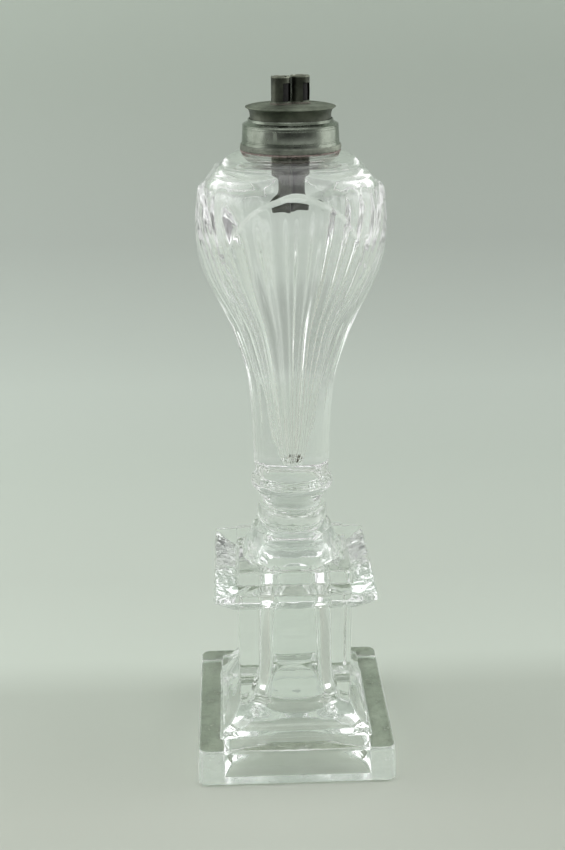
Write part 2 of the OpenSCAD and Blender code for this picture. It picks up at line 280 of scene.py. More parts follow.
def spread(tree, value, over, onto):
    """Maps a number from one range onto another and keeps it within the second."""
    node = tree.nodes.new("ShaderNodeMapRange")
    for name, number in zip(("From Min", "From Max", "To Min", "To Max"), (*over, *onto)):
        node.inputs[name].default_value = number
    link(tree, value, node.inputs["Value"])
    return node.outputs["Result"]


def reckon(tree, operation, *values):
    """Adds, multiplies or subtracts two values, each a node's output or a plain number."""
    node = tree.nodes.new("ShaderNodeMath")
    node.operation = operation
    for socket, value in zip(node.inputs, values):
        if isinstance(value, float):
            socket.default_value = value
        else:
            link(tree, value, socket)
    return node.outputs[0]


def bump(tree, height, distance, shader=None, before=None):
    """Relief of a depth, over an earlier relief and into a shader where these are given."""
    node = tree.nodes.new("ShaderNodeBump")
    node.inputs["Strength"].default_value = 1.0
    node.inputs["Distance"].default_value = distance
    link(tree, height, node.inputs["Height"])
    if before:
        link(tree, before, node.inputs["Normal"])
    if shader:
        link(tree, node.outputs["Normal"], shader.inputs["Normal"])
    return node.outputs["Normal"]


def new_glass(name):
    material, tree, shader = new_material(name)
    shader.inputs["IOR"].default_value = 1.52
    shader.inputs["Transmission Weight"].default_value = 1
    return material, tree, shader, coordinates(tree)


def clear_glass(name, wave_scale, thick, thin):
    """Clear glass with the slow waves of a fire-polished surface and a few rubbed places."""
    material, tree, shader, place = new_glass(name)
    tint = ramp(tree, noise(tree, place, scale=30, detail=2), [(0.0, thick), (1.0, thin)])
    link(tree, tint, shader.inputs["Base Color"])
    specks = noise(tree, place, scale=240, detail=6, roughness=0.7)
    rub = ramp(tree, specks, [(0.55, grey(0)), (0.9, grey(0.03))])
    link(tree, rub, shader.inputs["Roughness"])
    waves = noise(tree, place, scale=wave_scale, detail=3)
    bump(tree, waves, 0.00002, shader)
    return material


def rubbed_glass(name):
    """The resting face of the foot: glass dulled and soiled by years of standing."""
    material, tree, shader, place = new_glass(name)
    soil = noise(tree, place, scale=75, detail=8, roughness=0.78)
    stops = [(0.34, (0.18, 0.2, 0.15)), (0.45, (0.46, 0.5, 0.42)),
             (0.57, (0.66, 0.7, 0.62)), (0.72, (0.85, 0.88, 0.82))]
    link(tree, ramp(tree, soil, stops), shader.inputs["Base Color"])
    link(tree, spread(tree, soil, (0.3, 0.7), (0.35, 0.08)), shader.inputs["Roughness"])
    bump(tree, noise(tree, place, scale=900, detail=4), 0.00001, shader)
    return material


def joint_glass(name):
    """Faces where two pieces of glass are fused: light passes straight through them."""
    material, tree, shader = new_material(name)
    tree.nodes.remove(shader)
    clear = tree.nodes.new("ShaderNodeBsdfTransparent")
    link(tree, clear.outputs[0], tree.nodes["Material Output"].inputs["Surface"])
    return material


def dull_metal(name, dark, light, rough, grain, depth=0.00004, lines=0, metallic=0.85):
    """Old pewter: uneven tone, soft pitting and, where asked for, fine turned lines."""
    material, tree, shader = new_material(name)
    shader.inputs["Metallic"].default_value = metallic
    place = coordinates(tree)
    patches = noise(tree, place, scale=90, detail=5, roughness=0.6)
    tone = ramp(tree, patches, [(0.3, dark), (0.75, light)])
    link(tree, tone, shader.inputs["Base Color"])
    pits = noise(tree, place, scale=grain, detail=5, roughness=0.65)
    wear = ramp(tree, pits, [(0.3, grey(rough + 0.12)), (0.7, grey(rough - 0.08))])
    link(tree, wear, shader.inputs["Roughness"])
    normal = bump(tree, pits, depth, None if lines else shader)
    if lines:
        across = coordinates(tree, (0.001, 0.001, 1))
        turned = noise(tree, across, scale=lines, detail=3, roughness=0.8)
        bump(tree, turned, depth * 1.5, shader, normal)
    return material


def matt(name, dark, light, grain, depth):
    """A dry, grainy stuff such as plaster, leather or burnt cotton."""
    material, tree, shader = new_material(name)
    grains = noise(tree, coordinates(tree), scale=grain, detail=6, roughness=0.65)
    link(tree, ramp(tree, grains, [(0.3, dark), (0.7, light)]), shader.inputs["Base Color"])
    shade = ramp(tree, grains, [(0.2, grey(0.9)), (0.8, grey(0.75))])
    link(tree, shade, shader.inputs["Roughness"])
    bump(tree, grains, depth, shader)
    return material


BASE_GLASS = clear_glass("base_glass", wave_scale=70,
                         thick=(0.965, 0.992, 0.98), thin=(0.99, 1, 0.995))
FONT_GLASS = clear_glass("font_glass", wave_scale=60,
                         thick=(0.988, 0.995, 0.993), thin=(1, 1, 1))
RUBBED_GLASS = rubbed_glass("rubbed_underside")
JOINT_GLASS = joint_glass("fused_joint")
TURNED_PEWTER = dull_metal("turned_pewter", (0.09, 0.105, 0.08), (0.29, 0.32, 0.27), rough=0.22,
                           grain=260, depth=0.000008, lines=1800, metallic=1)
RAGGED_PEWTER = dull_metal("ragged_flange", (0.04, 0.045, 0.035), (0.38, 0.41, 0.34), rough=0.55,
                           grain=1400, depth=0.00015, metallic=0.8)
CAST_PEWTER = dull_metal("cast_pewter", (0.025, 0.03, 0.02), (0.12, 0.13, 0.10), rough=0.4,
                         grain=600)
ROUGH_PEWTER = dull_metal("rough_pewter", (0.045, 0.055, 0.036), (0.31, 0.345, 0.27), rough=0.55,
                          grain=800, depth=0.00016, metallic=0.7)
TUBE_METAL = dull_metal("tube_metal", (0.012, 0.014, 0.009), (0.11, 0.12, 0.09), rough=0.38,
                        grain=700, depth=0.00008)
WORN_RIM = dull_metal("worn_tube_rim", (0.10, 0.11, 0.08), (0.5, 0.53, 0.43), rough=0.5,
                      grain=1500, depth=0.00012, metallic=0.8)
SOLDER = dull_metal("solder", (0.06, 0.058, 0.045), (0.24, 0.225, 0.19), rough=0.55,
                    grain=900, depth=0.00012)
PLASTER = matt("plaster", (0.13, 0.10, 0.09), (0.36, 0.29, 0.265), grain=900, depth=0.0002)
WASHER_LEATHER = matt("washer_leather", (0.06, 0.04, 0.025), (0.16, 0.11, 0.07),
                      grain=700, depth=0.0001)
DRY_CRUMBS = matt("dry_crumbs", (0.02, 0.016, 0.01), (0.16, 0.13, 0.08),
                  grain=2500, depth=0.0001)
WICK_COTTON = matt("wick_cotton", (0.003, 0.003, 0.003), (0.014, 0.013, 0.012),
                   grain=1500, depth=0.0002)

# The solids that stay as they are
for node, coat in (("burner_plug", CAST_PEWTER), ("collar_plaster", PLASTER),
                   ("burner_washer", WASHER_LEATHER), ("wick_left", WICK_COTTON),
                   ("wick_right", WICK_COTTON)):
    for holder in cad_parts[node].material_slots:
        holder.material = coat

# How level a face is, and how near to a height in metres, to count as lying there
LEVEL = 0.99
AT_HEIGHT = 0.0002


def open_joint(piece, height):
    """Gives the flat faces at a joint's height the fused-joint finish."""
    piece.data.materials.append(JOINT_GLASS)
    for face in piece.data.polygons:
        if abs(face.normal.z) > LEVEL and abs(face.center.z - height * MM) < AT_HEIGHT:
            face.material_index = len(piece.data.materials) - 1


# The font: a lathe form whose rows are then drawn in to the loops, the flats and the shoulder

# Rows of the outside, as first height, gap and number
FONT_ROWS = [(FONT_Z, 2.0, 27), (182, 1.6, 27), (225.2, 0.45, 79)]
# Outside of the font up the middle of a loop, as (height, radius)
LOOP_FOOT = (15.46, FONT_Z)
LOOP_SIDE = [(z, r) for r, z in [LOOP_FOOT] + long_curve(
    LOOP_FOOT,
    ((15.76, 132.59), (15.95, 164.47), (18.87, 174.59), 16),
    ((29.37, 210.98), (37.62, 207.64), (37.62, 233.65), 24),
    ((37.62, 236.72), (36.81, 243), (36.36, 246), 8))]
FONT_NECK = [(15.6, 260.9), (15.6, 267.4), (15.4, 267.6), (13.7, 267.6), (13.5, 267.4),
             (13.5, 258.7)]
FUEL_SPACE = long_curve(
    (13.5, 258.6),
    ((24.5, 257.6), (31.6, 251), (31.5, 242), 24),
    ((31.5, 231), (15.8, 210), (12.2, 190), 30),
    ((9.2, 174), (6.6, 152), (4.2, 137), 20),
    ((3.5, 133.4), (3.2, 131.5), (0, 131.5), 8))
NECK_FOOT_Z = 260.7
FUEL_TOP_Z = 258.5
AXIS_RADIUS = 0.5

# A loop is a piece of a round surface whose centre line lies off the lamp's axis
LOOP_OFFSET = 4.0
LOOP_TOP = 249.3
LOOP_HALF_WIDTH = 28.2
LOOP_CENTRE = LOOP_TOP - LOOP_HALF_WIDTH
LOOP_EDGE = 3.5
LOOP_EDGE_DROP = 4.2
# The edges start at the first height and reach their full drop over the second length
EDGES_FROM_Z = 215
EDGES_RISE = 14
# The panels between the loops sink back and lean in, each from a height and over a length
SINK_LEAST = 0.05
SINK_DEPTH = 2.0
SINK_FROM_Z, SINK_RISE = 228, 20
LEAN_FROM_Z, LEAN_RISE = 246, 8
# Half width of the four flats and radius of the shoulder above the loops, at each height
FLATS = [(225, 60), (244, 37.6), (249, 32.9), (251, 31.3), (253, 29.7), (254.6, 28.2), (262, 21.2)]
SHOULDER = [(251.4, 60), (252.6, 37), (253.1, 34), (253.7, 31.2), (254.7, 28.2), (256.4, 26.3),
            (257.7, 25), (259, 22.8), (260.2, 19.6), (260.6, 16.6)]
FLAT_ROUNDING = 0.8
SHOULDER_ROUNDING = 0.5
LOOP_ROUNDING = 0.4
NOWHERE = -50

# The foot of the font is drawn in to the wafer over its lowest 2 mm
FOOT_RISE = 2
FOOT_DRAW = 0.5
# Waves left by the pressing, outside up to a height and in the fuel space between two
FLUTE_DEPTH = 0.09
FLUTES_TO_Z, FLUTES_FADE = 200, 30
RIPPLE_DEPTH = 0.35
RIPPLES_FROM_Z, RIPPLES_RISE = 131, 10
RIPPLES_TO_Z, RIPPLES_FADE = 250, 12
RIPPLES_FULL_RADIUS = 14
RIPPLES_LEAST = 0.55


def font_radius(turn, z):
    """Outer radius of the font at an angle round the axis and a height."""
    quarter = from_side(turn, 4)
    side = read_off(LOOP_SIDE, z) + LOOP_OFFSET
    aside = LOOP_OFFSET * math.sin(quarter)
    face = -LOOP_OFFSET * math.cos(quarter) + math.sqrt(side ** 2 - aside ** 2)
    if z < EDGES_FROM_Z:
        return face
    across = face * math.sin(abs(quarter))
    if z > LOOP_CENTRE:
        inside = LOOP_HALF_WIDTH - math.hypot(across, z - LOOP_CENTRE)
    else:
        inside = LOOP_HALF_WIDTH - across
    near_edge = clamp(1 - inside / LOOP_EDGE)
    rise = clamp((z - LOOP_CENTRE + EDGES_RISE) / EDGES_RISE)
    loop = face - LOOP_EDGE_DROP * near_edge ** 2 * rise if inside > 0 else NOWHERE
    sink = SINK_LEAST + SINK_DEPTH * clamp((z - SINK_FROM_Z) / SINK_RISE) ** 1.3
    panel = face - sink - clamp((z - LEAN_FROM_Z) / LEAN_RISE)
    behind = soft_min(read_off(FLATS, z) / math.cos(quarter), panel, FLAT_ROUNDING)
    behind = soft_min(behind, read_off(SHOULDER, z), SHOULDER_ROUNDING)
    return soft_max(loop, behind, LOOP_ROUNDING)


def make_waves(seed, count, fall):
    """Height at each step round the axis of a sum of waves, as left in the pressed glass."""
    chance = random.Random(seed)
    parts = [(k, chance.gauss(0, 1) / k ** fall, chance.uniform(0, FULL_TURN))
             for k in range(3, count)]
    size = math.sqrt(sum(a * a for _, a, _ in parts) / 2)
    turns = [FULL_TURN * i / STEPS for i in range(STEPS)]
    return [sum(a * math.cos(k * turn + p) for k, a, p in parts) / size for turn in turns]


def build_font():
    """The font, in one with its neck, round the space for the fuel."""
    rows = [first + gap * i for first, gap, count in FONT_ROWS for i in range(count)]
    outside = [(read_off(LOOP_SIDE, z), z) for z in rows]
    piece = lathe("font", [(0, FONT_Z)] + outside + FONT_NECK + FUEL_SPACE, STEPS)
    ripples = make_waves(seed=3, count=40, fall=0.5)
    flutes = make_waves(seed=11, count=24, fall=0.3)
    for point in piece.data.vertices:
        x, y, z = point.co / MM
        radius = math.hypot(x, y)
        if radius < AXIS_RADIUS:
            continue
        turn = math.atan2(y, x) % FULL_TURN
        step = round(turn / FULL_TURN * STEPS) % STEPS
        if radius > read_off(LOOP_SIDE, z) - 0.01 and z < NECK_FOOT_Z:
            new = font_radius(turn, z)
            new -= FOOT_DRAW * clamp((FONT_Z + FOOT_RISE - z) / FOOT_RISE) ** 2
            new += FLUTE_DEPTH * flutes[step] * clamp((FLUTES_TO_Z - z) / FLUTES_FADE)
        elif z < FUEL_TOP_Z:
            new = radius + (RIPPLE_DEPTH * ripples[step]
                            * clamp((RIPPLES_TO_Z - z) / RIPPLES_FADE)
                            * clamp((z - RIPPLES_FROM_Z) / RIPPLES_RISE)
                            * clamp(radius / RIPPLES_FULL_RADIUS, RIPPLES_LEAST, 1))
        else:
            continue
        point.co.x *= new / radius
        point.co.y *= new / radius
    tidy_faces(piece)
    dress(piece, FONT_GLASS)
    open_joint(piece, FONT_Z)
    hand_over(piece, "glass_font", "root", 60)


build_font()


# The base: a lathe form whose rows are then pushed out to squares, to the dome's eight sides
# and to the square pocket under the foot

# Half widths and heights of the square parts, and of the pocket under the foot
POCKET = 32.0
POCKET_Z = 12
PLINTH = 31.8
PILLAR = 23.9
CAP = 33.7
PLINTH_Z = 16.4
PILLAR_TOP_Z = 74.1
CAP_Z = 85.6
DOME_Z = 91.2
# Corners of the outline, as (half width, height, rounding, rounding of the upright corner)
FOOT_CORNERS = [(POCKET, 0, 0, 3.5), (42.5, 0, 1.2, 3.5), (41.8, PLINTH_Z, 1.5, 3.5),
                (PLINTH, PLINTH_Z, 1.2, 1.2), (PLINTH, 20.0, 0.9, 1.2),
                (PLINTH - 1.5, 20.6, 0, 1.2)]
CAP_CORNERS = [(CAP, 83.0, 0, 1.5), (CAP, CAP_Z, 1.2, 1.6), (PILLAR, CAP_Z, 0.8, 1.2),
               (PILLAR, DOME_Z, 1.0, 1.2), (21.9, DOME_Z, 0, 1.5)]

# The dome, flattened to eight sides at this distance from the axis, and its flared foot
DOME_FLATS = 20.75
DOME_TOP_R, DOME_TOP_Z = 16.5, 103.0
DOME_FOOT_RISE = 1.2
DOME_EDGE_FLARE = 0.8
DOME_FLAT_FLARE = 0.6
DOME_EDGE = 0.8
NECK = 13.5

# The hollow, from the ground up, and its round end
HOLLOW = [(44.7, 0), (38.8, 5.7), (32, 9.8), (29.5, 14), (27, 18), (23.5, 20.3), (20.8, 22),
          (19.6, 25), (18.2, 29), (16.9, 33), (16.2, 38), (15.8, 44)]
HOLLOW_ROW = 1.2
HOLLOW_TOP = 99.5
HOLLOW_END = 12.0
BORE_ROWS = 8
BORE_DRAFT = 0.075
# The hollow lies a little to the right in the foot
HOLLOW_SHIFT = 0.6
POCKET_TOP_Z = 24
POCKET_EDGE = 1.5
# How much further the hollow reaches into its corners than to its sides, at each height
HOLLOW_CORNERS = [(0, 1.0), (12, 1.16), (17, 1.08), (21, 1.0), (24, 1.02), (31, 1.16),
                  (62, 1.16), (78, 1.03), (95, 1.0)]

# Share of a square's side at which its rounded corner starts and ends
CORNER_FROM, CORNER_TO = 0.42, 0.58
CORNER_SHARE = 0.16
# Rounding of the square that gives the round rows their directions
GUIDE_CORNER = 0.05

# How far the pressed surface strays at each height, outside and in the hollow
OUTER_STRAY = [(0, 0.06), (16, 0.1), (28, 0.1), (32, 0.03), (70, 0.03), (76, 0.4), (88, 0.4),
               (92, 0.12), (103, 0.15), (117, 0.1)]
INNER_STRAY = [(0, 0.12), (20, 0.12), (32, 0.03), (70, 0.03), (76, 0.15), (86, 0.15), (96, 0.12)]
STRAY_LENGTH = 3.4
STRAY_FROM_Z, STRAY_TO_Z = 0.3, 116.5
# The hollow strays by another part of the same noise
HOLLOW_NOISE = 50


def rounded(corners, steps=5):
    """Rows (half width, height, upright corner) with each corner of the outline rounded."""
    rows = []
    for i, (x, z, radius, upright) in enumerate(corners):
        if radius == 0:
            rows.append((x, z, upright))
            continue
        corner = Vector((x, z))
        back = Vector(corners[i - 1][:2]) - corner
        on = Vector(corners[i + 1][:2]) - corner
        half = back.angle(on) / 2
        reach = min(radius / math.tan(half), 0.45 * back.length, 0.45 * on.length)
        radius = reach * math.tan(half)
        inwards = (back.normalized() + on.normalized()).normalized()
        centre = corner + inwards * radius / math.sin(half)
        first = corner + back.normalized() * reach - centre
        last = corner + on.normalized() * reach - centre
        for k in range(steps + 1):
            spoke = first.lerp(last, k / steps).normalized() * radius
            rows.append((centre.x + spoke.x, centre.y + spoke.y, upright))
    return rows


def square_rows():
    """The foot, the plinth, the pillar and the cap, from the ground up."""
    hollow_moulding = curve((PLINTH - 0.8, 20.2), (28.2, 21.4), (26.1, 25.1), (PILLAR, 28.9), 14)
    under_cap = curve((PILLAR, PILLAR_TOP_Z), (26.5, 75.7), (30.9, 79.6), (33.5, 82.5), 12)
    rows = rounded(FOOT_CORNERS)[1:-1]
    rows += [(w, z, 1.2) for w, z in hollow_moulding]
    rows += [(PILLAR, z, 1.0) for z in (32, 40, 50, 60, 70, PILLAR_TOP_Z)]
    rows += [(w, z, 1.2) for w, z in under_cap]
    return rows + rounded(CAP_CORNERS)


def dome_points():
    """The dome's outline, from its flared foot to its shoulder."""
    r, z = DOME_TOP_R, DOME_TOP_Z
    return [(22.9, DOME_Z)] + curve((22.6, DOME_Z + 0.6), (r + 3.4, DOME_Z + 3.2),
                                    (r + 1.5, z - 3.8), (r, z - 0.2), 22)


def neck_points():
    """The ringed neck between the dome and the wafer."""
    r, z = DOME_TOP_R, DOME_TOP_Z
    return [(r, z + 0.15)] + long_curve(
        (r - 0.2, z + 0.3),
        ((r - 1.4, z + 0.7), (13.6, 103.9), (13.5, 104.7), 10),
        ((13.5, 105.6), (14.6, 106.4), (14.7, 108), 10),
        ((14.8, 110), (14.6, 112.6), (13.2, 113.2), 12),
        ((12.1, 113.6), (11.9, 114.1), (12.3, 114.8), 6),
        ((12.7, 115.5), (13.1, 116.2), (NECK, WAFER_Z), 6))


def hollow_points():
    """The hollow's outline, smooth through its points, up to its round end on the axis."""
    points = []
    for i, ((r0, z0), (r1, z1)) in enumerate(zip(HOLLOW, HOLLOW[1:])):
        before, after = HOLLOW[max(i - 1, 0)], HOLLOW[min(i + 2, len(HOLLOW) - 1)]
        slope0 = (r1 - before[0]) / (z1 - before[1])
        slope1 = (after[0] - r0) / (after[1] - z0)
        third = (z1 - z0) / 3
        points += curve((r0, z0), (r0 + slope0 * third, z0 + third),
                        (r1 - slope1 * third, z1 - third), (r1, z1),
                        max(2, round((z1 - z0) / HOLLOW_ROW)))
    r, z = HOLLOW[-1]
    end = HOLLOW_TOP - HOLLOW_END
    points += [(r - BORE_DRAFT * k, z + (end - z) * k / BORE_ROWS)
               for k in range(1, BORE_ROWS + 1)]
    points += curve((r - 0.6, end), (r - 0.8, HOLLOW_TOP - HOLLOW_END * 0.45),
                    (r - HOLLOW_END / 2, HOLLOW_TOP), (r - HOLLOW_END, HOLLOW_TOP), 10)
    return points + [(6, HOLLOW_TOP), (2, HOLLOW_TOP), (0, HOLLOW_TOP)]


def base_rows():
    """The base's outline from the top of its neck down to the foot, and up inside the hollow."""
    rows = [(w, z, "square", upright) for w, z, upright in square_rows()]
    rows += [(r, z, "dome", 0) for r, z in dome_points()]
    rows += [(r, z, "round", 0) for r, z in neck_points()]
    rows.append((0, WAFER_Z, "centre", 0))
    rows.reverse()
    rows.append((*HOLLOW[0], "pocket", 0))
    rows += [(r, z, "pocket" if z < POCKET_TOP_Z else "bore" if r else "end", 0)
             for r, z in hollow_points()]
    return rows


def square_point(index, half, corner):
    """Place of step number index on a square with rounded corners."""
    quarter, along = divmod(index / (STEPS / 4), 1)
    if along <= CORNER_FROM:
        x, y = half, (half - corner) * along / CORNER_FROM
    elif along < CORNER_TO:
        turn = (along - CORNER_FROM) / CORNER_SHARE * QUARTER_TURN
        x, y = half - corner * (1 - math.cos(turn)), half - corner * (1 - math.sin(turn))
    else:
        x, y = (half - corner) * (1 - along) / CORNER_FROM, half
    turn = quarter * QUARTER_TURN
    return x * math.cos(turn) - y * math.sin(turn), x * math.sin(turn) + y * math.cos(turn)


def stray(x, y, z, strays, offset=0):
    """Moves a point by the uneven shrinkage of pressed glass."""
    depth = read_off(strays, z)
    place = Vector((x / STRAY_LENGTH, y / STRAY_LENGTH, z / STRAY_LENGTH * 0.8 + offset))
    across = field.noise(place) + 0.5 * field.noise(place * 2.3)
    along = field.noise(place + Vector((31.7, 11.3, 5.1)))
    radius = max(math.hypot(x, y), 1e-6)
    stretch = 1 + depth * across / radius
    return x * stretch, y * stretch, z + depth * 0.5 * along


def base_point(index, row):
    """Place across the axis of step number index in a row of the base."""
    w, z, kind, upright = row
    if kind == "square":
        return square_point(index, w, upright)
    x, y = square_point(index, 1, GUIDE_CORNER)
    turn = math.atan2(y, x)
    if kind == "dome":
        foot = max(0.0, 1 - (z - DOME_Z) / DOME_FOOT_RISE) ** 2
        flat = DOME_FLATS / math.cos(from_side(turn, 8))
        w = soft_min(w + DOME_EDGE_FLARE * foot, flat + DOME_FLAT_FLARE * foot, DOME_EDGE)
    if kind in ("pocket", "bore"):
        flat = POCKET if z < POCKET_Z else min(w, POCKET)
        w = soft_min(w * read_off(HOLLOW_CORNERS, z), flat / math.cos(from_side(turn, 4)),
                     POCKET_EDGE)
    return w * math.cos(turn), w * math.sin(turn)


def build_base():
    """Foot, pillar, cap, dome and neck in one, hollow from below."""
    rows = base_rows()
    piece = lathe("base", [row[:2] for row in rows], STEPS)
    finder = kdtree.KDTree(len(rows))
    for i, row in enumerate(rows):
        finder.insert((row[0], 0, row[1]), i)
    finder.balance()
    for point in piece.data.vertices:
        x, y, z = point.co / MM
        _, number, _ = finder.find((math.hypot(x, y), 0, z))
        row = rows[number]
        if row[0] > 0:
            index = round(math.atan2(y, x) / FULL_TURN * STEPS) % STEPS
            x, y = base_point(index, row)
        strays, offset = OUTER_STRAY, 0
        if row[2] in ("pocket", "bore", "end"):
            x += HOLLOW_SHIFT
            strays, offset = INNER_STRAY, HOLLOW_NOISE
        if STRAY_FROM_Z < z < STRAY_TO_Z:
            x, y, z = stray(x, y, z, strays, offset)
        point.co = Vector((x, y, z)) * MM
    tidy_faces(piece)
    dress(piece, BASE_GLASS)
    open_joint(piece, WAFER_Z)
    piece.data.materials.append(RUBBED_GLASS)
    for face in piece.data.polygons:
        if face.normal.z < -LEVEL and face.center.z < AT_HEIGHT:
            face.material_index = len(piece.data.materials) - 1
    hand_over(piece, "glass_base", "root", 40)


build_base()


WAFER_SIDE = long_curve(
    (NECK, WAFER_Z),
    ((14.4, 118.5), (15.9, 120.6), (16.7, 121.9), 12),
    ((17.0, 122.2), (17.2, 122.4), (17.2, 122.9), 5),
    ((17.25, 123.6), (17.25, 124.2), (16.9, 124.8), 7),
    ((16.2, 125.4), (13.6, 126.2), (13.6, 127.2), 12),
    ((13.6, 127.7), (14.2, 127.9), (14.96, FONT_Z), 5))
WAFER_STRAY = [(117, 0.05), (121, 0.06), (124, 0.1), (126, 0.5), (127.6, 0.5), (128, 0.1)]
# The wafer's two joints stay flat to this distance
JOINT_DEPTH = 0.1


def build_wafer():
    """The wafer, a little flattened, with an uneven joint to the font."""
    profile = [(0, WAFER_Z), (NECK, WAFER_Z)] + WAFER_SIDE + [(0, FONT_Z)]
    piece = lathe("wafer", profile, SMALL_STEPS)
    for point in piece.data.vertices:
        x, y, z = point.co / MM
        if WAFER_Z + JOINT_DEPTH < z < FONT_Z - JOINT_DEPTH:
            point.co = Vector(stray(x, y, z, WAFER_STRAY)) * MM
    tidy_faces(piece)
    dress(piece, BASE_GLASS)
    open_joint(piece, WAFER_Z)
    open_joint(piece, FONT_Z)
    hand_over(piece, "glass_wafer", "root", 50)


build_wafer()


# Dry crumbs of old fluid: the first few are large, and the last ones may stick to the wall
CRUMBS = 26
LARGE_CRUMBS = 3
LARGE_CRUMB = 0.75
SMALL_CRUMB = (0.16, 0.42)
CRUMBS_ON_FLOOR = 16
FLOOR_RADIUS = 3.1
FLOOR_Z = 131.6
FLOOR_RISE = 0.16
HIGHEST_ON_FLOOR = 133.5
WALL_RADIUS = 3.3
WALL_REACH = 4
BUMPS_PER_METRE = 2600
BUMP_SHARE = 0.5


def add_crumb(number, place, size):
    """One bumpy crumb of a size in mm at a place in metres."""
    deselect()
    bpy.ops.mesh.primitive_ico_sphere_add(subdivisions=2, radius=size * MM, location=place)
    crumb = bpy.context.object
    bpy.ops.object.transform_apply(location=True, rotation=True, scale=True)
    for point in crumb.data.vertices:
        spoke = point.co - Vector(place)
        apart = Vector((number * 3.1, 0, 0))
        bumpy = 1 + BUMP_SHARE * field.noise(spoke * BUMPS_PER_METRE + apart)
        point.co = Vector(place) + spoke * bumpy
    return crumb


def build_crumbs():
    """The crumbs at the bottom of the font, joined into one piece."""
    chance = random.Random(8)
    crumbs = []
    for i in range(CRUMBS):
        turn = chance.uniform(0, FULL_TURN)
        out = FLOOR_RADIUS * math.sqrt(chance.random())
        size = LARGE_CRUMB if i < LARGE_CRUMBS else chance.uniform(*SMALL_CRUMB)
        climb = 0 if i < CRUMBS_ON_FLOOR else chance.uniform(0, WALL_REACH)
        height = FLOOR_Z + FLOOR_RISE * out ** 2 + size * 0.6 + climb
        if height > HIGHEST_ON_FLOOR:
            out = WALL_RADIUS
        place = (out * math.cos(turn) * MM, out * math.sin(turn) * MM, height * MM)
        crumbs.append(add_crumb(i, place, size))
    pick(crumbs[0])
    for crumb in crumbs:
        crumb.select_set(True)
    bpy.ops.object.join()
    piece = bpy.context.object
    piece.name = "dry_crumbs"
    dress(piece, DRY_CRUMBS)
    hand_over(piece, None, "root", 60)


build_crumbs()


# The collar and the burner

COLLAR_FOOT_Z = 260.9
BAND_FOOT_Z = 263.0
BAND_TOP_Z = 270.4
SEAT_Z = 271.3
BORE = 11.18
# The thread inside the collar, as round grooves
THREADS = 4
THREAD_PITCH = 1.6
THREAD_DEPTH = 0.5
CREST_HALF = 0.72
ROOT_HALF = 0.16
# The band leans in by its draft, and tool lines run round it at these heights
BAND_RADIUS = 18.8
BAND_DRAFT = 0.45
TOOL_LINES = (264.1, 264.6, 269.0, 269.8)
TOOL_LINE_HALF = 0.14
TOOL_LINE_DEPTH = 0.09
# Where the flange's ragged edge and the band's outside begin
RAGGED_RADIUS, RAGGED_TOP_Z = 19.0, 262.97
BAND_INNER_RADIUS = 17
FLANGE_RADIUS = 18.7
# Outlines, as (radius, height)
COLLAR_INSIDE = [(BORE, 262.3), (12.88, 262.3), (12.88, 269.1), (16.7, 269.1),
                 (16.7, COLLAR_FOOT_Z)]
FLANGE = [(19.1, COLLAR_FOOT_Z), (19.32, 261.05), (19.4, 261.5), (19.35, 262.6), (19.15, 262.95)]
COLLAR_TOP = [(18.38, 270.25), (18.2, 270.45), (16.6, 271.2), (16.36, 271.45), (16.36, 272.15),
              (16.15, 272.4), (15.9, 272.4), (15.9, SEAT_Z), (BORE, SEAT_Z)]
PLASTER_RING = [(18.0, 260.25), (18.9, 260.2), (19.3, 260.4), (19.35, 260.75), (19.1, 260.95),
                (18.2, 260.95)]

PLATE_Z = 276.4
PLATE_TOP_Z = 277.7
PLATE = [(0, PLATE_Z), (16.4, PLATE_Z), (17.1, 276.42), (17.28, 276.6), (17.2, 276.85),
         (16.6, 277.05), (15.3, 277.4), (13.2, 277.64), (0, PLATE_TOP_Z)]
PLATE_STEPS = 192
# The plate is smooth up to this distance from the axis, and fully beaten a little further out
BEATEN_FROM = 3
BEATEN_FADE = 4
# The holes in the plate are wider than the tubes by this, and their tools longer than it is thick
HOLE_GAP = 0.02
TOOL_REACH = 1

TUBE_R = 3.7
TUBE_WALL = 0.5
TUBE_TOP_Z = 288.0
TUBE_FOOT_Z = 235.3
TUBE_OUTLINE = [(TUBE_R - TUBE_WALL, TUBE_FOOT_Z), (TUBE_R, TUBE_FOOT_Z), (TUBE_R, 277),
                (TUBE_R, TUBE_TOP_Z - 0.12), (TUBE_R - 0.14, TUBE_TOP_Z),
                (TUBE_R - 0.4, TUBE_TOP_Z - 0.02), (TUBE_R - TUBE_WALL, TUBE_TOP_Z - 0.15)]
TUBE_STEPS = 72
# The tubes stand on a line turned by this angle, each at this distance from the axis
TUBE_TURN = Matrix.Rotation(math.radians(27), 3, "Z")
TUBE_OFFSET = 4.15
TUBE_PLACES = [TUBE_TURN @ Vector((side * TUBE_OFFSET, 0, 0)) for side in (-1, 1)]
# The pick slots face the front, turned by this angle
SLOT_TURN = Matrix.Rotation(math.radians(49), 3, "Z")
SLOT_WAY = SLOT_TURN @ Vector((0, -1, 0))
SLOT_HALF = 2.35
SLOT_LOW = 278.05
SLOT_HIGH = 285.6
NICK_LENGTH = 1.1
# The tubes are dented from here up, fully from a little higher
DENTED_FROM_Z, DENTED_FADE = 278, 2
DENT_DEPTH = 0.09
DENT_LENGTH = 2.4
# The slot's lip is bent out most at this height, and less above, below and round the tube
LIP_Z = 281
LIP_REACH = 3
LIP_WIDTH = 0.7
# The rim is burnt away over its top, and worn bright down to an uneven line
RIM_HEIGHT = 0.6
BURN_DEPTH = 0.3
BURN_LENGTH = 1.3
WORN_DEPTH = 0.62
WORN_SPREAD = 0.5
WORN_LENGTH = 1.5
# A point this near to a line counts as on it
NEAR = 0.02
SOLDER_VOXEL = 0.00018


